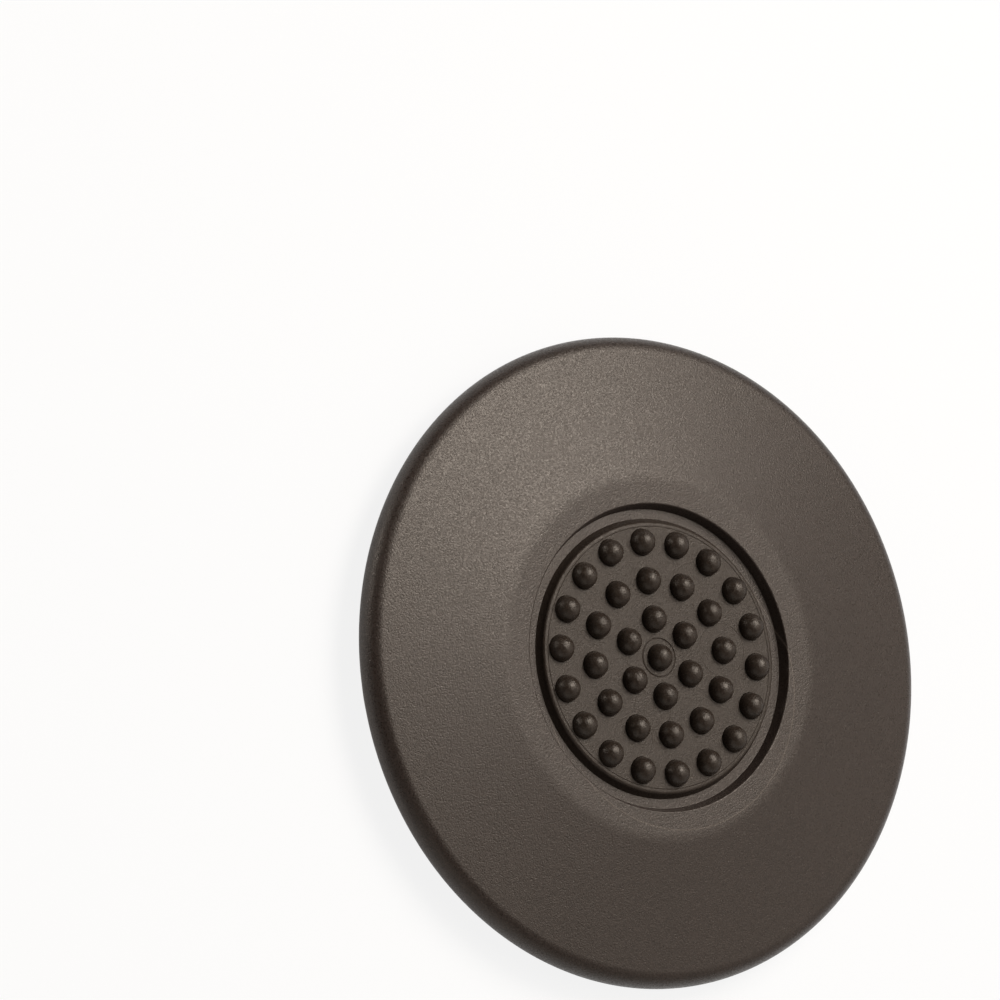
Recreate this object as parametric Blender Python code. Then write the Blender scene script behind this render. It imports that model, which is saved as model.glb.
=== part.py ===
"""Stick-on furniture pad with a studded grip centre.

A hard moulded dish with a shallow pocket carries a studded rubber disc. Under the dish lies a foam disc,
whose adhesive film is covered by a release liner. Units are metres, +Z is up through the studs, and the
origin is the centre of the liner's underside.
"""

import math

import bmesh
import bpy
from mathutils import Vector

MM = 0.001

# Overall
PAD_DIAMETER = 88.9 * MM
ROUND_STEPS = 96

# Release liner and adhesive film under the foam
LINER_THICKNESS = 0.15 * MM
LINER_OVERHANG = 0.05 * MM
ADHESIVE_THICKNESS = 0.15 * MM
ADHESIVE_INSET = 0.3 * MM

# Foam disc
FOAM_SETBACK = 2.55 * MM
FOAM_THICKNESS = 3.0 * MM

# Dish: its outer form
SHELL_HEIGHT = 6.3 * MM
SHELL_WALL = 2.0 * MM
LAND_WIDTH = 3.8 * MM
LAND_BLEND = 0.8 * MM
SHOULDER_RADIUS = 2.6 * MM
LIP_RADIUS = 0.9 * MM

# Dish: the pocket that takes the grip disc
POCKET_DIAMETER = 41.8 * MM
POCKET_DEPTH = 1.55 * MM
POCKET_DRAFT = 0.45 * MM
POCKET_EDGE_RADIUS = 0.25 * MM

# Dish: the underside, whose round ribs bear on the foam
RIM_SEAT_WIDTH = 2.0 * MM
HUB_WALL = 2.6 * MM
RIB_PITCH = 7.0 * MM
RIB_THICKNESS = 1.5 * MM

# Grip disc
GROOVE_WIDTH = 1.35 * MM
GRIP_DRAFT = 0.5 * MM
GRIP_RECESS = 0.3 * MM
GRIP_EDGE_RADIUS = 0.45 * MM

# Studs on the grip disc
STUD_DIAMETER = 3.6 * MM
STUD_HEIGHT = 1.9 * MM
STUD_RINGS = 3
STUDS_IN_FIRST_RING = 6
STUD_EDGE_MARGIN = 1.0 * MM
STUD_ROOT = 0.4 * MM
STUD_STEPS = 12
STUD_ARC_STEPS = 3

# Levels above the liner's underside
Z_ADHESIVE = LINER_THICKNESS
Z_FOAM = Z_ADHESIVE + ADHESIVE_THICKNESS
Z_SHELL = Z_FOAM + FOAM_THICKNESS
Z_POCKET = Z_SHELL + SHELL_HEIGHT - POCKET_DEPTH

# Radii that follow from the sizes above
RIM_RADIUS = PAD_DIAMETER / 2
FOAM_RADIUS = RIM_RADIUS - FOAM_SETBACK
POCKET_RADIUS = POCKET_DIAMETER / 2
POCKET_FLOOR_RADIUS = POCKET_RADIUS - POCKET_DRAFT
GRIP_BASE_RADIUS = POCKET_FLOOR_RADIUS - GROOVE_WIDTH
GRIP_TOP_RADIUS = GRIP_BASE_RADIUS - GRIP_DRAFT
STUD_RADIUS = STUD_DIAMETER / 2
HUB_RADIUS = POCKET_RADIUS + SHELL_WALL
SEAT_RADIUS = FOAM_RADIUS - RIM_SEAT_WIDTH

# Heights above the dish's own underside, and above the pocket's floor for the grip disc
FLOOR_HEIGHT = SHELL_HEIGHT - POCKET_DEPTH
GRIP_HEIGHT = POCKET_DEPTH - GRIP_RECESS

# Corner points (r, z) of the dish's profile
LAND_CORNER = (POCKET_RADIUS + LAND_WIDTH, SHELL_HEIGHT)
SHOULDER_CENTRE = (RIM_RADIUS - SHOULDER_RADIUS, LIP_RADIUS)


def clear_scene():
    """Remove every object, so that the script can be run again in an open file."""
    for old in list(bpy.data.objects):
        bpy.data.objects.remove(old, do_unlink=True)


def make_material(name, colour, roughness, metallic=0.0):
    """A Principled material with a plain colour."""
    material = bpy.data.materials.new(name)
    material.use_nodes = True
    shader = material.node_tree.nodes["Principled BSDF"]
    shader.inputs["Base Color"].default_value = (*colour, 1.0)
    shader.inputs["Roughness"].default_value = roughness
    shader.inputs["Metallic"].default_value = metallic
    return material


def arc(centre, radius, start_deg, end_deg, steps):
    """Points (r, z) of an arc about centre; 0 degrees points outward and 90 degrees up."""
    points = []
    for step in range(steps + 1):
        angle = math.radians(start_deg + (end_deg - start_deg) * step / steps)
        points.append((centre[0] + radius * math.cos(angle), centre[1] + radius * math.sin(angle)))
    return points


def revolve(name, profile, steps):
    """Spin a closed (r, z) profile about Z into one closed mesh."""
    mesh = bpy.data.meshes.new(name)
    bm = bmesh.new()
    verts = [bm.verts.new((r, 0.0, z)) for r, z in profile]
    edges = []
    for index, vert in enumerate(verts):
        following = verts[(index + 1) % len(verts)]
        if vert.co.x > 0.0 or following.co.x > 0.0:
            edges.append(bm.edges.new((vert, following)))
    bmesh.ops.spin(bm, geom=verts + edges, axis=(0, 0, 1), cent=(0, 0, 0), angle=2 * math.pi, steps=steps)
    bmesh.ops.remove_doubles(bm, verts=bm.verts[:], dist=0.001 * MM)
    bmesh.ops.recalc_face_normals(bm, faces=bm.faces[:])
    bm.to_mesh(mesh)
    bm.free()
    mesh.shade_smooth()
    mesh.set_sharp_from_angle(angle=math.radians(35))
    return mesh


def place(name, mesh, level, material):
    """Link a mesh as an object whose own base sits at the given level."""
    piece = bpy.data.objects.new(name, mesh)
    piece.location = (0.0, 0.0, level)
    piece.data.materials.append(material)
    bpy.context.collection.objects.link(piece)
    return piece


def disc(name, radius, thickness, level, material):
    """A plain flat disc."""
    profile = [(0.0, 0.0), (radius, 0.0), (radius, thickness), (0.0, thickness)]
    return place(name, revolve(name, profile, ROUND_STEPS), level, material)


def shoulder_touch():
    """Angle, up from outward, at which the cone runs into the rim's shoulder."""
    reach = Vector(SHOULDER_CENTRE) - Vector(LAND_CORNER)
    bearing = math.atan2(reach.y, reach.x)
    return bearing + math.asin(SHOULDER_RADIUS / reach.length) + math.pi / 2


def cone_fall():
    """Fall of the cone for each unit of radius."""
    return 1.0 / math.tan(shoulder_touch())


def cone_roof(radius):
    """Height of the hollow's roof under the cone, one wall below the cone."""
    cone_height = SHELL_HEIGHT - (radius - LAND_CORNER[0]) * cone_fall()
    return cone_height - SHELL_WALL / math.sin(shoulder_touch())


def floor_roof(radius):
    """Height of the hollow's roof under the pocket's floor, the same at every radius."""
    return FLOOR_HEIGHT - SHELL_WALL


def round_ribs(inner, outer, roof):
    """Points (r, z), from outer to inner, of evenly spaced ribs between a roof and the foam."""
    gaps = max(1, round((outer - inner) / RIB_PITCH))
    points = []
    for index in range(gaps - 1, 0, -1):
        middle = inner + (outer - inner) * index / gaps
        outside = middle + RIB_THICKNESS / 2
        inside = middle - RIB_THICKNESS / 2
        points += [(outside, roof(outside)), (outside, 0.0), (inside, 0.0), (inside, roof(inside))]
    return points


def land_blend():
    """Three points that round the land's outer edge into the cone."""
    radius, height = LAND_CORNER
    drop = LAND_BLEND * cone_fall()
    return [(radius - LAND_BLEND, height), (radius, height - drop / 4), (radius + LAND_BLEND, height - drop)]


def shell_profile():
    """Closed (r, z) profile of the dish, from the pocket's middle out, round the rim and back inside."""
    edge_centre = (POCKET_RADIUS + POCKET_EDGE_RADIUS, SHELL_HEIGHT - POCKET_EDGE_RADIUS)
    lip_centre = (RIM_RADIUS - LIP_RADIUS, LIP_RADIUS)
    hub_inside = HUB_RADIUS - HUB_WALL

    profile = [(0.0, FLOOR_HEIGHT), (POCKET_FLOOR_RADIUS, FLOOR_HEIGHT)]
    profile += arc(edge_centre, POCKET_EDGE_RADIUS, 180, 90, 3)
    profile += land_blend()
    profile += arc(SHOULDER_CENTRE, SHOULDER_RADIUS, math.degrees(shoulder_touch()), 0, 7)
    profile += arc(lip_centre, LIP_RADIUS, 0, -90, 4)[1:]
    profile += [(SEAT_RADIUS, 0.0), (SEAT_RADIUS, cone_roof(SEAT_RADIUS))]
    profile += round_ribs(LAND_CORNER[0], SEAT_RADIUS, cone_roof)
    profile.append((LAND_CORNER[0], cone_roof(LAND_CORNER[0])))
    profile += [(HUB_RADIUS, SHELL_HEIGHT - SHELL_WALL), (HUB_RADIUS, 0.0)]
    profile += [(hub_inside, 0.0), (hub_inside, floor_roof(hub_inside))]
    profile += round_ribs(0.0, hub_inside, floor_roof)
    profile.append((0.0, floor_roof(0.0)))
    return profile


def build_shell(material):
    """The moulded dish: pocket, land, cone and rolled rim above, hub and round ribs below."""
    return place("slider_shell", revolve("slider_shell", shell_profile(), ROUND_STEPS), Z_SHELL, material)


def stud_places():
    """Centres of the studs: one in the middle and rings that start on the same line."""
    pitch = (GRIP_TOP_RADIUS - STUD_EDGE_MARGIN - STUD_RADIUS) / STUD_RINGS
    places = [Vector((0.0, 0.0, 0.0))]
    for ring in range(1, STUD_RINGS + 1):
        count = STUDS_IN_FIRST_RING * ring
        for index in range(count):
            angle = 2 * math.pi * index / count
            places.append(Vector((pitch * ring * math.cos(angle), pitch * ring * math.sin(angle), 0.0)))
    return places


def stud_profile():
    """(r, z) profile of a stud with its root below the disc's top face."""
    straight = STUD_HEIGHT - STUD_RADIUS
    dome = arc((0.0, straight), STUD_RADIUS, 0, 90, STUD_ARC_STEPS)[:-1]
    return [(0.0, -STUD_ROOT), (STUD_RADIUS, -STUD_ROOT)] + dome + [(0.0, STUD_HEIGHT)]


def build_studs():
    """All the studs in one mesh, each a closed body."""
    stud = revolve("stud", stud_profile(), STUD_STEPS)
    bm = bmesh.new()
    for centre in stud_places():
        before = len(bm.verts)
        bm.from_mesh(stud)
        bm.verts.ensure_lookup_table()
        bmesh.ops.translate(bm, verts=bm.verts[before:], vec=centre)
    mesh = bpy.data.meshes.new("studs")
    bm.to_mesh(mesh)
    bm.free()
    bpy.data.meshes.remove(stud)
    return mesh


def build_grip(material):
    """The rubber disc that sits in the pocket, with its studs joined on by a Boolean and a hidden tool."""
    edge_centre = (GRIP_TOP_RADIUS - GRIP_EDGE_RADIUS, GRIP_HEIGHT - GRIP_EDGE_RADIUS)
    profile = [(0.0, 0.0), (GRIP_BASE_RADIUS, 0.0)]
    profile += arc(edge_centre, GRIP_EDGE_RADIUS, 0, 90, 3)
    profile.append((0.0, GRIP_HEIGHT))
    grip = place("grip_insert", revolve("grip_insert", profile, ROUND_STEPS), Z_POCKET, material)

    tool = place("stud_tool", build_studs(), Z_POCKET + GRIP_HEIGHT, material)
    tool.hide_render = True
    tool.display_type = "WIRE"
    union = grip.modifiers.new("studs", "BOOLEAN")
    union.operation = "UNION"
    union.solver = "EXACT"
    union.object = tool
    return grip


def build_pad():
    """Every piece of the pad, from the liner up."""
    plastic = make_material("moulded_plastic", (0.085, 0.074, 0.064), 0.5)
    rubber = make_material("grip_rubber", (0.068, 0.062, 0.056), 0.42)
    foam = make_material("black_foam", (0.012, 0.011, 0.010), 0.95)
    glue = make_material("clear_adhesive", (0.62, 0.56, 0.34), 0.3)
    paper = make_material("liner_paper", (0.78, 0.72, 0.47), 0.6)

    disc("release_liner", FOAM_RADIUS + LINER_OVERHANG, LINER_THICKNESS, 0.0, paper)
    disc("adhesive_film", FOAM_RADIUS - ADHESIVE_INSET, ADHESIVE_THICKNESS, Z_ADHESIVE, glue)
    disc("foam_pad", FOAM_RADIUS, FOAM_THICKNESS, Z_FOAM, foam)
    build_shell(plastic)
    build_grip(rubber)


clear_scene()
build_pad()
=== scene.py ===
"""Stick-on furniture pad with a studded grip centre: its looks, built round the fixed solids.

The dish, the grip disc, the foam and the liner are modelled again as fine meshes of the same form and
size. The adhesive film keeps its solid and gets its finish here. Units are metres, +Z is up through the
studs, and the origin is the centre of the liner's underside.
"""

import math

import bmesh
import bpy
from mathutils import Matrix, Vector, noise


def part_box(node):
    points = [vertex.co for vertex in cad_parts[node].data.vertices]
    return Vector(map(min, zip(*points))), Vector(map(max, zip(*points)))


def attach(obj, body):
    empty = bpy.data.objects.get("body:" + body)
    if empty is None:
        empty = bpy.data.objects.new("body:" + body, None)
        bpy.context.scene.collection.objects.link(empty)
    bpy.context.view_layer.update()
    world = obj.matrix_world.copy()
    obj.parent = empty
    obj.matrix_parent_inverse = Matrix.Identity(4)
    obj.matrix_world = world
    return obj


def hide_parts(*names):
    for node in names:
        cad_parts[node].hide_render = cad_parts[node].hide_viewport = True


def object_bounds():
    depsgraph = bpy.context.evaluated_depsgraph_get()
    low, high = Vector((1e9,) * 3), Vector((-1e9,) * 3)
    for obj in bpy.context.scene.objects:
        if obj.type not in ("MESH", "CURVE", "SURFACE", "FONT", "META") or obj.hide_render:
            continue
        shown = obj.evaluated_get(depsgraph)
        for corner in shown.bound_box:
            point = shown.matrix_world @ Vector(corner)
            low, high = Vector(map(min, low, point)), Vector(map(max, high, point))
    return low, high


bl_info = {
    "name": "Furniture Pad",
    "version": (1, 0, 0),
    "blender": (4, 5, 0),
    "location": "View3D > Sidebar > Furniture Pad",
    "description": "Builds the fine surfaces and finishes of a stick-on furniture pad",
    "category": "Object",
}

MM = 0.001

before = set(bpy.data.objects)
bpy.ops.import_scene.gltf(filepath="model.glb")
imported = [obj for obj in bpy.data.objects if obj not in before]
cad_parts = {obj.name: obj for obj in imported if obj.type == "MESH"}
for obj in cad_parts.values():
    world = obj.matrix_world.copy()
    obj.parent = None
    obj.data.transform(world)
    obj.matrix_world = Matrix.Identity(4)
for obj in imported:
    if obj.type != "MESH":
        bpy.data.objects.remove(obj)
CAD_LOW, CAD_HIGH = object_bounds()
SHELL_LOW, SHELL_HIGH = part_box("slider_shell")
GRIP_LOW, GRIP_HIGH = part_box("grip_insert")
FOAM_LOW, FOAM_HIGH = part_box("foam_pad")
LINER_LOW, LINER_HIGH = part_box("release_liner")

# A profile point nearer the axis than this is on it
AXIS_RADIUS = 0.001 * MM
# Faces that meet at more than this keep a sharp edge
SHARP_ANGLE = math.radians(35)
# Steps along the small roundings, the rim's shoulder and a stud's dome
EDGE_STEPS = 12
SHOULDER_STEPS = 24
DOME_STEPS = 20


def length_property(name, description, millimetres):
    """A length that a user may change."""
    return bpy.props.FloatProperty(
        name=name,
        description=description,
        default=millimetres * MM,
        min=0.0,
        precision=5,
        unit="LENGTH",
    )


def angle_property(name, description, degrees):
    """An angle that a user may change."""
    return bpy.props.FloatProperty(
        name=name, description=description, default=math.radians(degrees), subtype="ANGLE"
    )


def share_property(name, description, default):
    """A plain number from 0 to 1."""
    return bpy.props.FloatProperty(
        name=name, description=description, default=default, min=0.0, max=1.0, subtype="FACTOR"
    )


def count_property(name, description, default):
    """A whole number of things."""
    return bpy.props.IntProperty(name=name, description=description, default=default, min=1)


def colour_property(name, description, default):
    """A linear colour."""
    return bpy.props.FloatVectorProperty(
        name=name,
        description=description,
        default=default,
        size=3,
        min=0.0,
        max=1.0,
        subtype="COLOR",
    )


class ShellSettings(bpy.types.PropertyGroup):
    """Sizes and finish of the moulded dish."""

    wall: length_property("Wall", "Thickness of the dish's wall", 2.0)
    land_width: length_property("Land width", "Flat ring round the pocket, to the cone's corner", 3.8)
    land_blend: length_property("Land blend", "Half the width of the soft turn from land to cone", 0.8)
    shoulder_radius: length_property("Shoulder radius", "Rounding of the rim's upper side", 2.6)
    lip_radius: length_property("Lip radius", "Rounding of the rim's lower side", 0.9)
    pocket_diameter: length_property("Pocket diameter", "Across the pocket's mouth", 41.8)
    pocket_depth: length_property("Pocket depth", "From the land down to the pocket's floor", 1.55)
    pocket_draft: length_property("Pocket draft", "How far the pocket's wall leans in", 0.45)
    pocket_edge: length_property("Pocket edge", "Rounding of the pocket's mouth", 0.25)
    rim_seat: length_property("Rim seat", "Width of the rim's ring on the foam", 2.0)
    hub_wall: length_property("Hub wall", "Width of the ring under the pocket's wall", 2.6)
    rib_pitch: length_property("Rib pitch", "Wanted spacing of the round ribs underneath", 7.0)
    rib_thickness: length_property("Rib thickness", "Width of each round rib", 1.5)
    colour: colour_property("Colour", "Dark brown of the moulded plastic", (0.0270, 0.0192, 0.0162))
    roughness: share_property("Roughness", "Roughness of the grained plastic", 0.37)
    grain_size: length_property("Grain size", "Size of the moulded grain", 0.15)
    grain_depth: length_property("Grain depth", "Depth of the moulded grain", 0.05)
    speckle: share_property("Speckle", "How much the grain lightens and darkens the colour", 1.0)


class GripSettings(bpy.types.PropertyGroup):
    """Sizes and finish of the rubber grip disc."""

    draft: length_property("Draft", "How far the disc's wall leans in", 0.5)
    edge_radius: length_property("Edge radius", "Rounding of the disc's upper edge", 0.45)
    border_radius: length_property("Border radius", "Radius of the fine groove inside the border", 17.88)
    border_groove: length_property("Border groove", "Width of that groove", 0.12)
    border_depth: length_property("Border depth", "Depth of that groove", 0.05)
    stud_diameter: length_property("Stud diameter", "Across each stud", 3.6)
    stud_height: length_property("Stud height", "From the disc's face to a stud's top", 1.9)
    foot_groove: length_property("Foot groove", "Depth of the fine groove round each stud", 0.05)
    foot_ring: length_property("Foot ring", "Height of the soft ring outside that groove", 0.012)
    edge_margin: length_property("Edge margin", "From the outer studs to the disc's edge", 1.0)
    rings: count_property("Rings", "Rings of studs round the middle one", 3)
    first_ring: count_property("First ring", "Studs in the first ring", 6)
    collar_radius: length_property("Collar radius", "Radius of the ring groove at the middle stud", 2.62)
    collar_width: length_property("Collar width", "Width of that groove", 0.26)
    collar_depth: length_property("Collar depth", "Depth of that groove", 0.08)
    colour: colour_property("Colour", "Dark grey brown of the rubber", (0.0270, 0.0195, 0.0150))
    roughness: share_property("Roughness", "Roughness of the rubber's flat face", 0.40)
    polish: share_property("Polish", "Roughness of the rubbed stud tops", 0.24)
    grain_size: length_property("Grain size", "Size of the rubber's fine tooth", 0.14)
    grain_depth: length_property("Grain depth", "Depth of the rubber's fine tooth", 0.05)
    speckle: share_property("Speckle", "How much fine specks lighten and darken the colour", 0.7)
    mark_depth: length_property("Mark depth", "Depth of the cutter's circles left by the mould", 0.02)


class FoamSettings(bpy.types.PropertyGroup):
    """Finish of the foam disc."""

    edge_radius: length_property("Edge radius", "Rounding of the cut edges", 0.18)
    pore_size: length_property("Pore size", "Size of the cut cells", 0.28)
    pore_depth: length_property("Pore depth", "How far the cut side is uneven", 0.05)
    colour: colour_property("Colour", "Black of the foam", (0.0075, 0.0065, 0.0055))


class LinerSettings(bpy.types.PropertyGroup):
    """Finish of the release liner and of the adhesive above it."""

    edge_wave: length_property("Edge wave", "How far the cut edge wanders in and out", 0.08)
    edge_lift: length_property("Edge lift", "How far the loose edge lifts", 0.08)
    colour: colour_property("Colour", "Pale yellow of the coated paper", (0.78, 0.72, 0.47))
    adhesive: colour_property("Adhesive", "Pale yellow of the tacky film", (0.62, 0.56, 0.34))


class StageSettings(bpy.types.PropertyGroup):
    """Camera, floor and lamps."""

    lens: bpy.props.FloatProperty(
        name="Lens", description="Focal length in millimetres", default=396.0, min=1.0
    )
    distance: length_property("Distance", "From the camera to the aim point", 1486.33)
    azimuth: angle_property("Azimuth", "Camera's direction round the pad, from -Y towards +X", 66.8)
    elevation: angle_property("Elevation", "Camera's height above the floor", 56.17)
    roll: angle_property("Roll", "Turn of the camera about its own axis", -75.92)
    aim_x: bpy.props.FloatProperty(
        name="Aim X", description="Aim point under the pad, along X", default=1.40 * MM, unit="LENGTH"
    )
    aim_y: bpy.props.FloatProperty(
        name="Aim Y", description="Aim point under the pad, along Y", default=-28.75 * MM, unit="LENGTH"
    )
    floor_glow: share_property("Floor glow", "Share of the floor's white that no shadow dims", 0.86)


def arc(centre, radius, start_deg, end_deg, steps):
    """Points (r, z) of an arc about centre; 0 degrees points outward and 90 degrees up."""
    points = []
    for step in range(steps + 1):
        angle = math.radians(start_deg + (end_deg - start_deg) * step / steps)
        points.append((centre[0] + radius * math.cos(angle), centre[1] + radius * math.sin(angle)))
    return points


def evenly(start, end, steps):
    """Numbers from start to end, both included."""
    return [start + (end - start) * step / steps for step in range(steps + 1)]


def stitch(bm, inner, outer):
    """Faces between two rings of vertices, either of which may be a single point."""
    count = max(len(inner), len(outer))
    for index in range(count):
        following = (index + 1) % count
        corners = []
        if len(inner) == 1:
            corners = [inner[0], outer[index], outer[following]]
        elif len(outer) == 1:
            corners = [inner[index], outer[0], inner[following]]
        else:
            corners = [inner[index], outer[index], outer[following], inner[following]]
        bm.faces.new(corners)


def lathe(bm, profile, steps, centre=(0.0, 0.0)):
    """Turn an open (r, z) profile about a vertical line and return its rings of vertices."""
    rings = []
    for radius, height in profile:
        if radius < AXIS_RADIUS:
            rings.append([bm.verts.new((centre[0], centre[1], height))])
            continue
        ring = []
        for step in range(steps):
            angle = 2 * math.pi * step / steps
            x = centre[0] + radius * math.cos(angle)
            y = centre[1] + radius * math.sin(angle)
            ring.append(bm.verts.new((x, y, height)))
        rings.append(ring)
    for inner, outer in zip(rings, rings[1:]):
        stitch(bm, inner, outer)
    return rings


def make_piece(name, bm, material, node):
    """Turn a bmesh into a shaded piece that stands for a solid and rides on the pad's body."""
    bmesh.ops.recalc_face_normals(bm, faces=bm.faces[:])
    mesh = bpy.data.meshes.new(name)
    bm.to_mesh(mesh)
    bm.free()
    mesh.shade_smooth()
    mesh.set_sharp_from_angle(angle=SHARP_ANGLE)
    mesh.materials.append(material)
    piece = bpy.data.objects.new(name, mesh)
    bpy.context.scene.collection.objects.link(piece)
    piece.modifiers.new("even shading", "WEIGHTED_NORMAL").keep_sharp = True
    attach(piece, "root")
    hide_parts(node)
    return piece


# Shader node groups

class GroupMaker:
    """A small helper that makes a shader node group with named sockets."""

    def __init__(self, name, inputs, outputs):
        self.tree = bpy.data.node_groups.new(name, "ShaderNodeTree")
        for socket_name, kind, default in inputs:
            socket = self.tree.interface.new_socket(socket_name, in_out="INPUT", socket_type=kind)
            socket.default_value = default
        for socket_name, kind in outputs:
            self.tree.interface.new_socket(socket_name, in_out="OUTPUT", socket_type=kind)
        self.entry = self.tree.nodes.new("NodeGroupInput")
        self.exit = self.tree.nodes.new("NodeGroupOutput")

    def join(self, source, target):
        """Link one socket to another."""
        self.tree.links.new(source, target)

    def maths(self, operation, first, second=0.0, third=0.0, clamp=False):
        """A Math node; each operand is a socket or a number."""
        node = self.tree.nodes.new("ShaderNodeMath")
        node.operation = operation
        node.use_clamp = clamp
        for slot, value in zip(node.inputs, (first, second, third)):
            if isinstance(value, bpy.types.NodeSocket):
                self.join(value, slot)
            else:
                slot.default_value = value
        return node.outputs[0]

    def scaled_coordinates(self, size):
        """The object's own coordinates, in units of a size socket."""
        coordinates = self.tree.nodes.new("ShaderNodeTexCoord")
        scale = self.tree.nodes.new("ShaderNodeVectorMath")
        scale.operation = "SCALE"
        self.join(coordinates.outputs["Object"], scale.inputs[0])
        self.join(self.maths("DIVIDE", 1.0, size), scale.inputs["Scale"])
        return scale.outputs[0]


def grain_group():
    """Fine moulded grain: pebbles over a finer tooth."""
    maker = GroupMaker(
        "Moulded Grain",
        [("Size", "NodeSocketFloat", 0.16 * MM), ("Tooth", "NodeSocketFloat", 0.5)],
        [("Height", "NodeSocketFloat"), ("Sheen", "NodeSocketFloat")],
    )
    place = maker.scaled_coordinates(maker.entry.outputs["Size"])
    pebble = maker.tree.nodes.new("ShaderNodeTexNoise")
    pebble.inputs["Scale"].default_value = 0.62
    pebble.inputs["Detail"].default_value = 2.0
    pebble.inputs["Roughness"].default_value = 0.6
    maker.join(place, pebble.inputs["Vector"])
    tooth = maker.tree.nodes.new("ShaderNodeTexNoise")
    tooth.inputs["Scale"].default_value = 1.4
    tooth.inputs["Detail"].default_value = 1.0
    maker.join(place, tooth.inputs["Vector"])
    fine = maker.maths("MULTIPLY", tooth.outputs["Fac"], maker.entry.outputs["Tooth"])
    maker.join(maker.maths("ADD", pebble.outputs["Fac"], fine), maker.exit.inputs["Height"])
    maker.join(pebble.outputs["Fac"], maker.exit.inputs["Sheen"])
    return maker.tree


def mottle_group():
    """Soft patches that lighten and darken a colour a little, as flow and handling leave them."""
    maker = GroupMaker(
        "Soft Mottle",
        [
            ("Colour", "NodeSocketColor", (0.5, 0.5, 0.5, 1.0)),
            ("Patch Size", "NodeSocketFloat", 6.0 * MM),
            ("Contrast", "NodeSocketFloat", 0.1),
        ],
        [("Colour", "NodeSocketColor")],
    )
    place = maker.scaled_coordinates(maker.entry.outputs["Patch Size"])
    patches = maker.tree.nodes.new("ShaderNodeTexNoise")
    patches.inputs["Scale"].default_value = 0.6
    patches.inputs["Detail"].default_value = 4.0
    maker.join(place, patches.inputs["Vector"])
    centred = maker.maths("SUBTRACT", patches.outputs["Fac"], 0.5)
    doubled = maker.maths("MULTIPLY", centred, 2.0)
    swing = maker.maths("MULTIPLY_ADD", doubled, maker.entry.outputs["Contrast"], 1.0)
    tint = maker.tree.nodes.new("ShaderNodeVectorMath")
    tint.operation = "SCALE"
    maker.join(maker.entry.outputs["Colour"], tint.inputs[0])
    maker.join(swing, tint.inputs["Scale"])
    maker.join(tint.outputs[0], maker.exit.inputs["Colour"])
    return maker.tree


# How steeply a speck's edge fades
SPECK_EDGE = 8.0


def speck_group():
    """A mask of sparse fine specks, such as settled dust."""
    maker = GroupMaker(
        "Fine Specks",
        [("Spacing", "NodeSocketFloat", 0.6 * MM), ("Spread", "NodeSocketFloat", 0.2)],
        [("Mask", "NodeSocketFloat")],
    )
    place = maker.scaled_coordinates(maker.entry.outputs["Spacing"])
    cells = maker.tree.nodes.new("ShaderNodeTexVoronoi")
    cells.inputs["Scale"].default_value = 1.0
    maker.join(place, cells.inputs["Vector"])
    near = maker.maths("SUBTRACT", maker.entry.outputs["Spread"], cells.outputs["Distance"])
    maker.join(maker.maths("MULTIPLY", near, SPECK_EDGE, clamp=True), maker.exit.inputs["Mask"])
    return maker.tree


def circle_group():
    """A fine raised circle, as a turning cutter leaves in a mould."""
    maker = GroupMaker(
        "Cutter Circle",
        [
            ("Centre X", "NodeSocketFloat", 0.0),
            ("Centre Y", "NodeSocketFloat", 0.0),
            ("Radius", "NodeSocketFloat", 5.0 * MM),
            ("Width", "NodeSocketFloat", 0.12 * MM),
        ],
        [("Height", "NodeSocketFloat")],
    )
    coordinates = maker.tree.nodes.new("ShaderNodeTexCoord")
    split = maker.tree.nodes.new("ShaderNodeSeparateXYZ")
    maker.join(coordinates.outputs["Object"], split.inputs[0])
    across = maker.maths("SUBTRACT", split.outputs["X"], maker.entry.outputs["Centre X"])
    along = maker.maths("SUBTRACT", split.outputs["Y"], maker.entry.outputs["Centre Y"])
    across_square = maker.maths("MULTIPLY", across, across)
    along_square = maker.maths("MULTIPLY", along, along)
    reach = maker.maths("SQRT", maker.maths("ADD", across_square, along_square))
    off = maker.maths("SUBTRACT", reach, maker.entry.outputs["Radius"])
    share = maker.maths("DIVIDE", maker.maths("ABSOLUTE", off), maker.entry.outputs["Width"])
    ridge = maker.maths("SUBTRACT", 1.0, share, clamp=True)
    maker.join(maker.maths("MULTIPLY", ridge, ridge), maker.exit.inputs["Height"])
    return maker.tree


def rise_group():
    """A mask that grows from 0 at a low level to 1 at a high one."""
    maker = GroupMaker(
        "Rise",
        [("Low", "NodeSocketFloat", 0.0), ("High", "NodeSocketFloat", 1.0 * MM)],
        [("Mask", "NodeSocketFloat")],
    )
    coordinates = maker.tree.nodes.new("ShaderNodeTexCoord")
    split = maker.tree.nodes.new("ShaderNodeSeparateXYZ")
    maker.join(coordinates.outputs["Object"], split.inputs[0])
    above = maker.maths("SUBTRACT", split.outputs["Z"], maker.entry.outputs["Low"])
    span = maker.maths("SUBTRACT", maker.entry.outputs["High"], maker.entry.outputs["Low"])
    maker.join(maker.maths("DIVIDE", above, span, clamp=True), maker.exit.inputs["Mask"])
    return maker.tree


def shared_group(name):
    """The named node group, made on first use."""
    makers = {
        "Rise": rise_group,
        "Moulded Grain": grain_group,
        "Soft Mottle": mottle_group,
        "Fine Specks": speck_group,
        "Cutter Circle": circle_group,
    }
    return bpy.data.node_groups.get(name) or makers[name]()


# Linear colours: the gloss on every finish, the dust on the dish and on the rubber, the painted
# highlight along the arc on the dish's land and the paper's flecks
GLOSS_COLOUR = (1.0, 0.94, 0.88)
DISH_DUST = (0.14, 0.12, 0.10)
RUBBER_DUST = (0.13, 0.115, 0.10)
PAINTED_HIGHLIGHT = (0.11, 0.09, 0.075)
PAPER_FLECK = (0.55, 0.47, 0.26)


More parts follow.
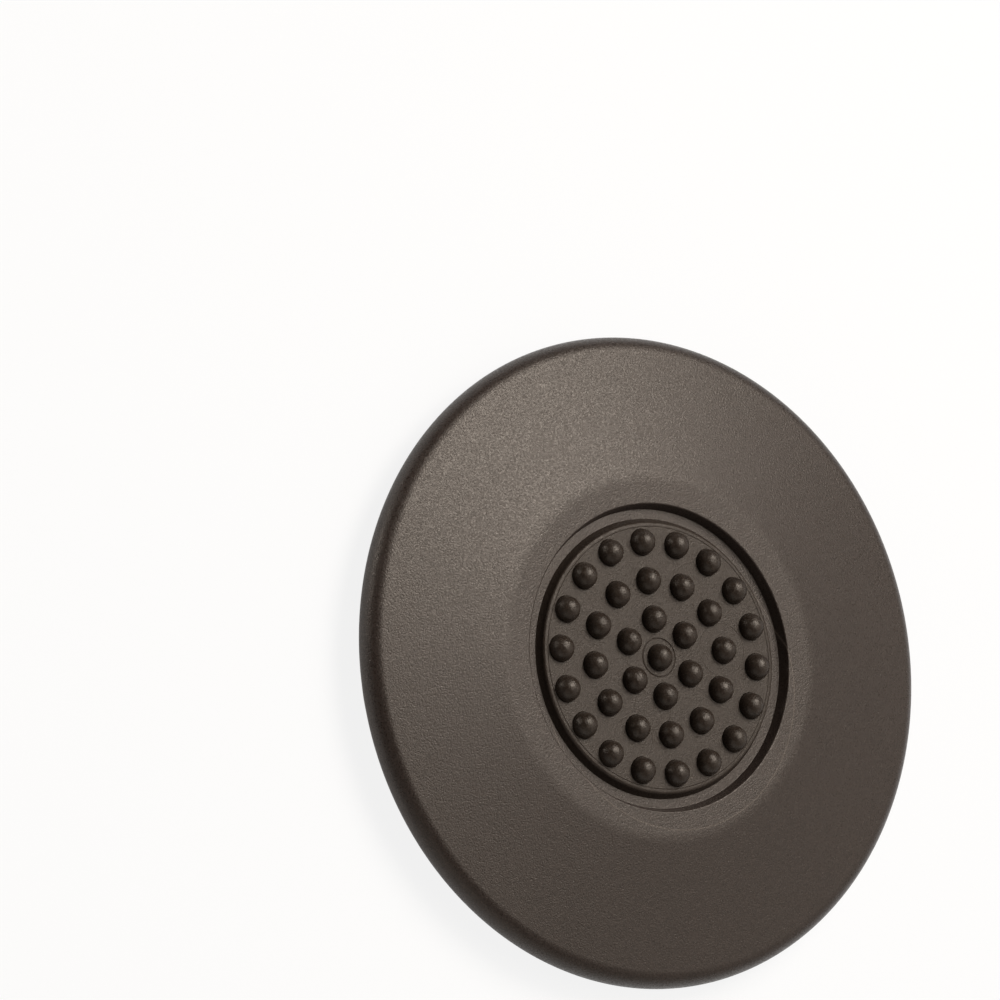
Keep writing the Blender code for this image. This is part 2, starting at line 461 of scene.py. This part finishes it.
class Finish:
    """A material in the making: a Principled shader and the groups that feed it."""

    def __init__(self, name, roughness, gloss=0.5):
        self.material = bpy.data.materials.new(name)
        self.material.use_nodes = True
        self.tree = self.material.node_tree
        self.shader = self.tree.nodes["Principled BSDF"]
        self.shader.inputs["Roughness"].default_value = roughness
        self.shader.inputs["Specular IOR Level"].default_value = gloss
        self.shader.inputs["Specular Tint"].default_value = (*GLOSS_COLOUR, 1.0)

    def join(self, source, target):
        """Link one socket to another."""
        self.tree.links.new(source, target)

    def group(self, name, **values):
        """Place a shared group with its own values; underscores stand for spaces."""
        node = self.tree.nodes.new("ShaderNodeGroup")
        node.node_tree = shared_group(name)
        for key, value in values.items():
            node.inputs[key.replace("_", " ")].default_value = value
        return node

    def maths(self, operation, first, second=0.0, third=0.0):
        """A Math node; each operand is a socket or a number."""
        node = self.tree.nodes.new("ShaderNodeMath")
        node.operation = operation
        for slot, value in zip(node.inputs, (first, second, third)):
            if isinstance(value, bpy.types.NodeSocket):
                self.join(value, slot)
            else:
                slot.default_value = value
        return node.outputs[0]

    def mix(self, mask, first, second):
        """Blend a colour socket towards a fixed colour by a mask."""
        node = self.tree.nodes.new("ShaderNodeMix")
        node.data_type = "RGBA"
        self.join(mask, node.inputs["Factor"])
        self.join(first, node.inputs[6])
        node.inputs[7].default_value = (*second, 1.0)
        return node.outputs[2]

    def sheen(self, grain, roughness, swing):
        """Roughness that a grain's Sheen swings evenly about a middle value."""
        return self.maths("MULTIPLY_ADD", grain.outputs["Sheen"], swing, roughness - swing / 2)

    def bump(self, height, depth, below=None):
        """A Bump node whose height of 1 stands for a depth in metres."""
        node = self.tree.nodes.new("ShaderNodeBump")
        node.inputs["Distance"].default_value = depth
        self.join(height, node.inputs["Height"])
        if below is not None:
            self.join(below, node.inputs["Normal"])
        return node.outputs["Normal"]


# Faint round arc on the land, lighter in colour as a painted highlight of a fine ridge: centre X, centre
# Y and radius, in millimetres
HIGHLIGHT_ARC = (0.65, 4.15, 19.7)


def shell_material(settings):
    """Dark grained plastic with faint flow patches, a painted highlight along an arc on the land and a
    few specks of dust.
    """
    finish = Finish("grained_plastic", settings.roughness)
    mottle = finish.group(
        "Soft Mottle", Colour=(*settings.colour, 1.0), Patch_Size=7.0 * MM, Contrast=0.10
    )
    speckle = finish.group("Soft Mottle", Patch_Size=settings.grain_size, Contrast=settings.speckle)
    finish.join(mottle.outputs["Colour"], speckle.inputs["Colour"])
    grain = finish.group("Moulded Grain", Size=settings.grain_size, Tooth=0.5)
    # The arc is a painted highlight: a lighter colour standing in for a fine ridge that catches the
    # light
    x, y, radius = HIGHLIGHT_ARC
    mark = finish.group("Cutter Circle", Centre_X=x * MM, Centre_Y=y * MM, Radius=radius * MM)
    rubbed = finish.mix(mark.outputs["Height"], speckle.outputs["Colour"], PAINTED_HIGHLIGHT)
    specks = finish.group("Fine Specks", Spacing=2.4 * MM, Spread=0.05)
    dusty = finish.mix(specks.outputs["Mask"], rubbed, DISH_DUST)
    finish.join(dusty, finish.shader.inputs["Base Color"])
    sheen = finish.sheen(grain, settings.roughness, swing=0.9)
    finish.join(sheen, finish.shader.inputs["Roughness"])
    normal = finish.bump(grain.outputs["Height"], settings.grain_depth)
    finish.join(normal, finish.shader.inputs["Normal"])
    return finish.material


# Cutter circles on the grip disc: centre X, centre Y and radius, in millimetres
CUTTER_CIRCLES = (
    (0.0, 0.0, 5.3),
    (5.3, 4.6, 2.9),
    (-9.0, 5.0, 3.6),
    (10.6, 6.0, 3.1),
)
# Heights above the grip's face at which the studs' polish starts and is full
POLISH_START = 0.1 * MM
POLISH_FULL = 0.6 * MM


def grip_material(settings):
    """Satin rubber with a fine tooth, rubbed stud tops and the mould's cutter circles."""
    finish = Finish("moulded_rubber", settings.roughness, gloss=0.4)
    mottle = finish.group(
        "Soft Mottle", Colour=(*settings.colour, 1.0), Patch_Size=4.0 * MM, Contrast=0.12
    )
    speckle = finish.group("Soft Mottle", Patch_Size=0.2 * MM, Contrast=settings.speckle)
    finish.join(mottle.outputs["Colour"], speckle.inputs["Colour"])
    grain = finish.group("Moulded Grain", Size=settings.grain_size, Tooth=0.6)
    specks = finish.group("Fine Specks", Spacing=1.8 * MM, Spread=0.06)
    dusty = finish.mix(specks.outputs["Mask"], speckle.outputs["Colour"], RUBBER_DUST)
    finish.join(dusty, finish.shader.inputs["Base Color"])
    face = GRIP_HIGH.z - settings.stud_height
    rubbed = finish.group("Rise", Low=face + POLISH_START, High=face + POLISH_FULL)
    sheen = finish.sheen(grain, settings.roughness, swing=1.1)
    change = settings.polish - settings.roughness
    finish.join(
        finish.maths("MULTIPLY_ADD", rubbed.outputs["Mask"], change, sheen),
        finish.shader.inputs["Roughness"],
    )
    marks = 0.0
    for x, y, radius in CUTTER_CIRCLES:
        circle = finish.group("Cutter Circle", Centre_X=x * MM, Centre_Y=y * MM, Radius=radius * MM)
        marks = finish.maths("ADD", circle.outputs["Height"], marks)
    marked = finish.bump(marks, settings.mark_depth)
    normal = finish.bump(grain.outputs["Height"], settings.grain_depth, below=marked)
    finish.join(normal, finish.shader.inputs["Normal"])
    return finish.material


def foam_material(settings):
    """Black closed-cell foam, cut on its side."""
    finish = Finish("cut_foam", 0.95, gloss=0.25)
    mottle = finish.group(
        "Soft Mottle", Colour=(*settings.colour, 1.0), Patch_Size=1.5 * MM, Contrast=0.4
    )
    cells = finish.group("Moulded Grain", Size=settings.pore_size, Tooth=1.0)
    finish.join(mottle.outputs["Colour"], finish.shader.inputs["Base Color"])
    normal = finish.bump(cells.outputs["Height"], settings.pore_depth)
    finish.join(normal, finish.shader.inputs["Normal"])
    return finish.material


def liner_material(settings):
    """Pale coated paper with a faint fibre."""
    finish = Finish("coated_paper", 0.5)
    mottle = finish.group(
        "Soft Mottle", Colour=(*settings.colour, 1.0), Patch_Size=3.0 * MM, Contrast=0.06
    )
    fibre = finish.group("Moulded Grain", Size=0.2 * MM, Tooth=0.8)
    specks = finish.group("Fine Specks", Spacing=2.5 * MM, Spread=0.08)
    flecked = finish.mix(specks.outputs["Mask"], mottle.outputs["Colour"], PAPER_FLECK)
    finish.join(flecked, finish.shader.inputs["Base Color"])
    normal = finish.bump(fibre.outputs["Height"], 0.004 * MM)
    finish.join(normal, finish.shader.inputs["Normal"])
    return finish.material


def adhesive_material(settings):
    """Tacky film, glossy where it is bare."""
    finish = Finish("tacky_film", 0.3)
    mottle = finish.group(
        "Soft Mottle", Colour=(*settings.adhesive, 1.0), Patch_Size=2.0 * MM, Contrast=0.12
    )
    ripples = finish.group("Moulded Grain", Size=0.5 * MM, Tooth=0.2)
    finish.join(mottle.outputs["Colour"], finish.shader.inputs["Base Color"])
    normal = finish.bump(ripples.outputs["Height"], 0.01 * MM)
    finish.join(normal, finish.shader.inputs["Normal"])
    return finish.material


# Dish

SHELL_STEPS = 288
# Rounding between the pocket's floor and its wall
FLOOR_FILLET = 0.12 * MM


class ShellForm:
    """Radii and heights of the dish, worked out from its box and its settings."""

    def __init__(self, settings):
        self.settings = settings
        self.base = SHELL_LOW.z
        self.top = SHELL_HIGH.z
        self.rim = SHELL_HIGH.x
        self.seat = FOAM_HIGH.x - settings.rim_seat
        self.pocket = settings.pocket_diameter / 2
        self.floor_radius = self.pocket - settings.pocket_draft
        self.floor = self.top - settings.pocket_depth
        self.hub = self.pocket + settings.wall
        self.land_corner = self.pocket + settings.land_width
        self.shoulder = (self.rim - settings.shoulder_radius, self.base + settings.lip_radius)
        self.touch = self.shoulder_touch()
        self.fall = 1.0 / math.tan(self.touch)

    def shoulder_touch(self):
        """Angle, up from outward, at which the cone runs into the rim's shoulder."""
        reach = Vector(self.shoulder) - Vector((self.land_corner, self.top))
        bearing = math.atan2(reach.y, reach.x)
        return bearing + math.asin(self.settings.shoulder_radius / reach.length) + math.pi / 2

    def cone(self, radius):
        """Height of the cone's outer face."""
        return self.top - (radius - self.land_corner) * self.fall

    def cone_roof(self, radius):
        """Height of the hollow's roof under the cone."""
        return self.cone(radius) - self.settings.wall / math.sin(self.touch)

    def floor_roof(self, radius):
        """Height of the hollow's roof under the pocket, the same at every radius."""
        return self.floor - self.settings.wall


def land_points(form):
    """The flat land's soft turn into the cone."""
    settings = form.settings
    points = []
    for share in evenly(0.0, 1.0, EDGE_STEPS):
        radius = form.land_corner + (2 * share - 1) * settings.land_blend
        points.append((radius, form.top - settings.land_blend * form.fall * share * share))
    return points


def rib_points(form, inner, outer, roof):
    """The round ribs between a roof and the foam, from outer to inner."""
    settings = form.settings
    gaps = max(1, round((outer - inner) / settings.rib_pitch))
    points = []
    for index in range(gaps - 1, 0, -1):
        middle = inner + (outer - inner) * index / gaps
        outside = middle + settings.rib_thickness / 2
        inside = middle - settings.rib_thickness / 2
        points += [(outside, roof(outside)), (outside, form.base)]
        points += [(inside, form.base), (inside, roof(inside))]
    return points


def shell_profile(form):
    """(r, z) profile of the dish, from the pocket's middle out, round the rim and back inside."""
    settings = form.settings
    edge_centre = (form.pocket + settings.pocket_edge, form.top - settings.pocket_edge)
    lip_centre = (form.rim - settings.lip_radius, form.base + settings.lip_radius)
    hub_inside = form.hub - settings.hub_wall
    fillet_centre = (form.floor_radius - FLOOR_FILLET, form.floor + FLOOR_FILLET)

    profile = [(0.0, form.floor), (form.floor_radius - FLOOR_FILLET, form.floor)]
    profile += arc(fillet_centre, FLOOR_FILLET, -90, -12, 4)[1:]
    profile += arc(edge_centre, settings.pocket_edge, 168, 90, EDGE_STEPS)
    profile += land_points(form)
    cone_end = form.shoulder[0] + settings.shoulder_radius * math.cos(form.touch)
    cone_start = form.land_corner + settings.land_blend
    for radius in evenly(cone_start, cone_end, EDGE_STEPS)[1:-1]:
        profile.append((radius, form.cone(radius)))
    touch = math.degrees(form.touch)
    profile += arc(form.shoulder, settings.shoulder_radius, touch, 0, SHOULDER_STEPS)
    profile += arc(lip_centre, settings.lip_radius, 0, -90, EDGE_STEPS)[1:]
    profile += [(form.seat, form.base), (form.seat, form.cone_roof(form.seat))]
    profile += rib_points(form, form.land_corner, form.seat, form.cone_roof)
    profile.append((form.land_corner, form.cone_roof(form.land_corner)))
    profile += [(form.hub, form.top - settings.wall), (form.hub, form.base)]
    profile += [(hub_inside, form.base), (hub_inside, form.floor_roof(hub_inside))]
    profile += rib_points(form, 0.0, hub_inside, form.floor_roof)
    profile.append((0.0, form.floor_roof(0.0)))
    return profile


class PAD_OT_shell(bpy.types.Operator):
    """Build the moulded dish"""

    bl_idname = "furniture_pad.shell"
    bl_label = "Moulded Dish"

    def execute(self, context):
        settings = context.scene.pad_shell
        bm = bmesh.new()
        lathe(bm, shell_profile(ShellForm(settings)), SHELL_STEPS)
        piece = make_piece("shell_moulding", bm, shell_material(settings), "slider_shell")
        return {"FINISHED"}


# Grip disc

GRIP_STEPS = 240
STUD_STEPS = 40
# Distances from a stud's side to the inner and outer edge of the soft ring round its foot
FOOT_RING_INNER = 0.08 * MM
FOOT_RING_OUTER = 0.15 * MM
# Width of a flat ring that keeps a groove's or a swell's slope out of the face's shading
FLAT_RING = 0.02 * MM


def stud_profile(settings, face):
    """(r, z) profile of a stud, from the soft ring outside its foot to its top."""
    radius = settings.stud_diameter / 2
    dome_centre = face + settings.stud_height - radius
    start = math.degrees(math.asin((face - settings.foot_groove - dome_centre) / radius))
    profile = [(radius + FOOT_RING_OUTER + FLAT_RING, face)]
    for share in evenly(0.0, 1.0, 6):
        out = FOOT_RING_OUTER + (FOOT_RING_INNER - FOOT_RING_OUTER) * share
        profile.append((radius + out, face + math.sin(share * math.pi) * settings.foot_ring))
    profile += arc((0.0, dome_centre), radius, start, 90, DOME_STEPS)[:-1]
    profile.append((0.0, face + settings.stud_height))
    return profile


def ring_groove(middle, width, depth, face):
    """A fine round-bottomed groove in the face, from outside in."""
    points = []
    for share in evenly(-1.0, 1.0, 8):
        drop = depth * math.cos(share * math.pi / 2) ** 2
        points.append((middle - share * width / 2, face - drop))
    return [(points[0][0] + FLAT_RING, face)] + points + [(points[-1][0] - FLAT_RING, face)]


def stud_places(settings, reach):
    """Centres of the studs round the middle one; all rings start on the same line."""
    pitch = (reach - settings.edge_margin - settings.stud_diameter / 2) / settings.rings
    places = []
    for ring in range(1, settings.rings + 1):
        count = settings.first_ring * ring
        for index in range(count):
            angle = 2 * math.pi * index / count
            places.append((pitch * ring * math.cos(angle), pitch * ring * math.sin(angle)))
    return places


def ring_edges(bm, ring):
    """The edges round a ring of vertices."""
    return [bm.edges.get((ring[index - 1], ring[index])) for index in range(len(ring))]


class PAD_OT_grip(bpy.types.Operator):
    """Build the rubber disc with its studs"""

    bl_idname = "furniture_pad.grip"
    bl_label = "Grip Disc"

    def execute(self, context):
        settings = context.scene.pad_grip
        base_radius = GRIP_HIGH.x
        top_radius = base_radius - settings.draft
        face = GRIP_HIGH.z - settings.stud_height
        edge = settings.edge_radius
        bm = bmesh.new()

        border = (settings.border_radius, settings.border_groove, settings.border_depth)
        side = ring_groove(*border, face)[::-1]
        side += arc((top_radius - edge, face - edge), edge, 90, 0, EDGE_STEPS)
        side += [(base_radius, GRIP_LOW.z), (0.0, GRIP_LOW.z)]
        borders = ring_edges(bm, lathe(bm, side, GRIP_STEPS)[0])

        collar = (settings.collar_radius, settings.collar_width, settings.collar_depth)
        middle = ring_groove(*collar, face) + stud_profile(settings, face)
        borders += ring_edges(bm, lathe(bm, middle, STUD_STEPS)[0])
        stud = stud_profile(settings, face)
        for place in stud_places(settings, top_radius):
            borders += ring_edges(bm, lathe(bm, stud, STUD_STEPS, place)[0])
        bmesh.ops.triangle_fill(bm, edges=borders, use_beauty=True, use_dissolve=False)

        piece = make_piece("grip_moulding", bm, grip_material(settings), "grip_insert")
        return {"FINISHED"}


# Foam, adhesive and liner

FOAM_STEPS = 720
FOAM_ROWS = 10
FOAM_EDGE_STEPS = 3
# Size of the slow sway of the foam's cut side, in cells
SWAY_CELLS = 20
LINER_STEPS = 360
# How far inside the foam's edge the liner starts to be loose
LOOSE_INSET = 0.3 * MM
LOOSE_ROWS = 4
# Sizes of the waves in the liner's cut edge and in its lift
WANDER_SIZE = 5 * MM
LIFT_SIZE = 9 * MM


class PAD_OT_foam(bpy.types.Operator):
    """Build the foam disc with its cut side"""

    bl_idname = "furniture_pad.foam"
    bl_label = "Foam Disc"

    def execute(self, context):
        settings = context.scene.pad_foam
        edge = settings.edge_radius
        radius = FOAM_HIGH.x - settings.pore_depth
        top = FOAM_HIGH.z
        base = FOAM_LOW.z
        profile = [(0.0, top)] + arc((radius - edge, top - edge), edge, 90, 0, FOAM_EDGE_STEPS)
        profile += [(radius, height) for height in evenly(top - edge, base + edge, FOAM_ROWS)[1:-1]]
        profile += arc((radius - edge, base + edge), edge, 0, -90, FOAM_EDGE_STEPS)
        profile.append((0.0, base))
        bm = bmesh.new()
        lathe(bm, profile, FOAM_STEPS)
        for vert in bm.verts:
            if base < vert.co.z < top:
                ripple = noise.noise(vert.co / settings.pore_size) * settings.pore_depth
                slow = vert.co / (SWAY_CELLS * settings.pore_size)
                sway = noise.noise(slow) * settings.pore_depth
                outward = Vector((vert.co.x, vert.co.y, 0.0)).normalized()
                vert.co += outward * (ripple + sway) * 0.5
        piece = make_piece("foam_disc", bm, foam_material(settings), "foam_pad")
        return {"FINISHED"}


class PAD_OT_adhesive(bpy.types.Operator):
    """Give the adhesive film its finish"""

    bl_idname = "furniture_pad.adhesive"
    bl_label = "Adhesive Film"

    def execute(self, context):
        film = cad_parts["adhesive_film"]
        film.data.materials.clear()
        film.data.materials.append(adhesive_material(context.scene.pad_liner))
        return {"FINISHED"}


class PAD_OT_liner(bpy.types.Operator):
    """Build the release liner with its loose edge"""

    bl_idname = "furniture_pad.liner"
    bl_label = "Release Liner"

    def execute(self, context):
        settings = context.scene.pad_liner
        radius = LINER_HIGH.x
        loose = FOAM_HIGH.x - LOOSE_INSET
        rows = evenly(loose, radius, LOOSE_ROWS)
        profile = [(0.0, LINER_HIGH.z)] + [(row, LINER_HIGH.z) for row in rows]
        profile += [(row, LINER_LOW.z) for row in reversed(rows)] + [(0.0, LINER_LOW.z)]
        bm = bmesh.new()
        lathe(bm, profile, LINER_STEPS)
        for vert in bm.verts:
            reach = math.hypot(vert.co.x, vert.co.y)
            share = (reach - loose) / (radius - loose)
            if share > 0.0:
                place = vert.co.xy.to_3d()
                wander = noise.noise(place / WANDER_SIZE) - 0.5
                lift = max(0.0, noise.noise(place / LIFT_SIZE) + 0.2)
                vert.co.xy *= 1.0 + share * wander * settings.edge_wave / reach
                vert.co.z += share * share * lift * settings.edge_lift
        piece = make_piece("liner_disc", bm, liner_material(settings), "release_liner")
        return {"FINISHED"}


# Stage

# Round softboxes: name, azimuth and elevation in degrees, width in metres and radiance
SOFTBOXES = (
    ("key_softbox", 290.0, 57.0, 0.48, 7.3),
    ("side_softbox", 283.0, 48.0, 0.50, 2.8),
    ("top_softbox", 252.0, 73.0, 0.50, 1.5),
    ("high_softbox", 216.0, 67.0, 0.40, 0.3),
    ("spot_softbox", 340.0, 55.0, 0.20, 2.0),
    ("back_softbox", 222.0, 47.0, 0.60, 0.5),
    ("rear_softbox", 195.0, 28.0, 1.00, 0.35),
    ("right_softbox", 240.0, 15.0, 0.50, 0.6),
    ("low_softbox", 144.0, 8.0, 0.60, 0.6),
    ("front_softbox", 110.0, 25.0, 0.60, 0.7),
    ("rim_softbox", 22.0, 4.0, 0.20, 12.0),
)
SOFTBOX_DISTANCE = 0.8
SOFTBOX_COLOUR = (1.0, 0.93, 0.85)
FLOOR_SIZE = 12.0
FLOOR_COLOUR = (0.9, 0.9, 0.9)
# Keeps the floor's face and the liner's apart
FLOOR_GAP = 0.02 * MM
# Strength of the room's own light
ROOM_LEVEL = 0.02


def direction(azimuth, elevation):
    """Unit vector towards an azimuth, from -Y towards +X, and an elevation."""
    flat = math.cos(elevation)
    return Vector((math.sin(azimuth) * flat, -math.cos(azimuth) * flat, math.sin(elevation)))


def path_mix(tree, base, shown, outputs):
    """Show one shader to the rays named in outputs and another to all other rays."""
    path = tree.nodes.new("ShaderNodeLightPath")
    chosen = path.outputs[outputs[0]]
    for name in outputs[1:]:
        either = tree.nodes.new("ShaderNodeMath")
        either.operation = "MAXIMUM"
        tree.links.new(chosen, either.inputs[0])
        tree.links.new(path.outputs[name], either.inputs[1])
        chosen = either.outputs[0]
    mix = tree.nodes.new("ShaderNodeMixShader")
    tree.links.new(chosen, mix.inputs["Fac"])
    tree.links.new(base, mix.inputs[1])
    tree.links.new(shown, mix.inputs[2])
    return mix.outputs[0]


def floor_material(settings):
    """White floor: plain diffuse to the lamps' light, near white to the camera with a soft shadow."""
    material = bpy.data.materials.new("stage_floor")
    material.use_nodes = True
    tree = material.node_tree
    tree.nodes.clear()
    diffuse = tree.nodes.new("ShaderNodeBsdfDiffuse")
    diffuse.inputs["Color"].default_value = (*FLOOR_COLOUR, 1.0)
    glow = tree.nodes.new("ShaderNodeEmission")
    glow.inputs["Strength"].default_value = 1.0
    seen = tree.nodes.new("ShaderNodeMixShader")
    seen.inputs["Fac"].default_value = settings.floor_glow
    tree.links.new(diffuse.outputs[0], seen.inputs[1])
    tree.links.new(glow.outputs[0], seen.inputs[2])
    output = tree.nodes.new("ShaderNodeOutputMaterial")
    rays = ("Is Camera Ray", "Is Glossy Ray", "Is Transmission Ray")
    shown = path_mix(tree, diffuse.outputs[0], seen.outputs[0], rays)
    tree.links.new(shown, output.inputs["Surface"])
    return material


def make_floor(settings):
    """A plain white floor under the pad."""
    mesh = bpy.data.meshes.new("floor")
    bm = bmesh.new()
    bmesh.ops.create_grid(bm, x_segments=1, y_segments=1, size=FLOOR_SIZE / 2)
    bm.to_mesh(mesh)
    bm.free()
    mesh.materials.append(floor_material(settings))
    floor = bpy.data.objects.new("floor", mesh)
    floor.location.z = CAD_LOW.z - FLOOR_GAP
    bpy.context.scene.collection.objects.link(floor)


def make_softboxes():
    """Round area lamps that face the pad."""
    for name, azimuth, elevation, width, radiance in SOFTBOXES:
        lamp = bpy.data.lights.new(name, "AREA")
        lamp.shape = "DISK"
        lamp.size = width
        lamp.color = SOFTBOX_COLOUR
        # A disc's power is its radiance times pi times its area
        lamp.energy = radiance * (math.pi * width / 2) ** 2
        toward = direction(math.radians(azimuth), math.radians(elevation))
        softbox = bpy.data.objects.new(name, lamp)
        softbox.location = toward * SOFTBOX_DISTANCE
        softbox.rotation_mode = "QUATERNION"
        softbox.rotation_quaternion = toward.to_track_quat("Z", "Y")
        softbox.visible_camera = False
        bpy.context.scene.collection.objects.link(softbox)


def make_world():
    """A dim room for the light, and white where the camera looks past the floor."""
    world = bpy.data.worlds.new("studio")
    world.use_nodes = True
    tree = world.node_tree
    tree.nodes.clear()
    room = tree.nodes.new("ShaderNodeBackground")
    room.inputs["Strength"].default_value = ROOM_LEVEL
    white = tree.nodes.new("ShaderNodeBackground")
    white.inputs["Color"].default_value = (1.0, 1.0, 1.0, 1.0)
    output = tree.nodes.new("ShaderNodeOutputWorld")
    rays = ("Is Camera Ray", "Is Transmission Ray")
    shown = path_mix(tree, room.outputs[0], white.outputs[0], rays)
    tree.links.new(shown, output.inputs["Surface"])
    bpy.context.scene.world = world


def make_camera(settings):
    """The photograph's view: from above the pad's face, rolled so that its axis points right."""
    data = bpy.data.cameras.new("camera")
    data.lens = settings.lens
    data.sensor_width = 36.0
    data.clip_start = 0.05
    data.clip_end = 50.0
    back = direction(settings.azimuth, settings.elevation)
    level = Vector((math.cos(settings.azimuth), math.sin(settings.azimuth), 0.0))
    upright = back.cross(level)
    right = level * math.cos(settings.roll) - upright * math.sin(settings.roll)
    up = upright * math.cos(settings.roll) + level * math.sin(settings.roll)
    camera = bpy.data.objects.new("camera", data)
    turn = Matrix((right, up, back)).transposed().to_4x4()
    aim = Vector((settings.aim_x, settings.aim_y, CAD_LOW.z))
    camera.matrix_world = Matrix.Translation(aim + back * settings.distance) @ turn
    bpy.context.scene.collection.objects.link(camera)
    bpy.context.scene.camera = camera


class PAD_OT_stage(bpy.types.Operator):
    """Set up the floor, the softboxes, the room and the camera"""

    bl_idname = "furniture_pad.stage"
    bl_label = "Stage"

    def execute(self, context):
        settings = context.scene.pad_stage
        make_floor(settings)
        make_softboxes()
        make_world()
        make_camera(settings)
        context.scene.view_settings.view_transform = "Standard"
        return {"FINISHED"}


OPERATORS = (PAD_OT_shell, PAD_OT_grip, PAD_OT_foam, PAD_OT_adhesive, PAD_OT_liner, PAD_OT_stage)
SETTINGS = {
    "pad_shell": ShellSettings,
    "pad_grip": GripSettings,
    "pad_foam": FoamSettings,
    "pad_liner": LinerSettings,
    "pad_stage": StageSettings,
}


class PAD_PT_panel(bpy.types.Panel):
    """The pad's pieces in the sidebar"""

    bl_idname = "PAD_PT_panel"
    bl_label = "Furniture Pad"
    bl_space_type = "VIEW_3D"
    bl_region_type = "UI"
    bl_category = "Furniture Pad"

    def draw(self, context):
        for operator in OPERATORS:
            self.layout.operator(operator.bl_idname)
        for name, group in SETTINGS.items():
            box = self.layout.box()
            box.label(text=name.replace("pad_", "").title())
            for setting in group.__annotations__:
                box.prop(getattr(context.scene, name), setting)


def register():
    """Register the settings, the operators and the panel."""
    for name, group in SETTINGS.items():
        bpy.utils.register_class(group)
        setattr(bpy.types.Scene, name, bpy.props.PointerProperty(type=group))
    for operator in OPERATORS:
        bpy.utils.register_class(operator)
    bpy.utils.register_class(PAD_PT_panel)


def unregister():
    """Take all of them out again."""
    bpy.utils.unregister_class(PAD_PT_panel)
    for operator in reversed(OPERATORS):
        bpy.utils.unregister_class(operator)
    for name, group in reversed(SETTINGS.items()):
        delattr(bpy.types.Scene, name)
        bpy.utils.unregister_class(group)


def main():
    """Build every piece and the stage."""
    register()
    bpy.ops.furniture_pad.shell()
    bpy.ops.furniture_pad.grip()
    bpy.ops.furniture_pad.foam()
    bpy.ops.furniture_pad.adhesive()
    bpy.ops.furniture_pad.liner()
    bpy.ops.furniture_pad.stage()


if __name__ == "__main__":
    main()
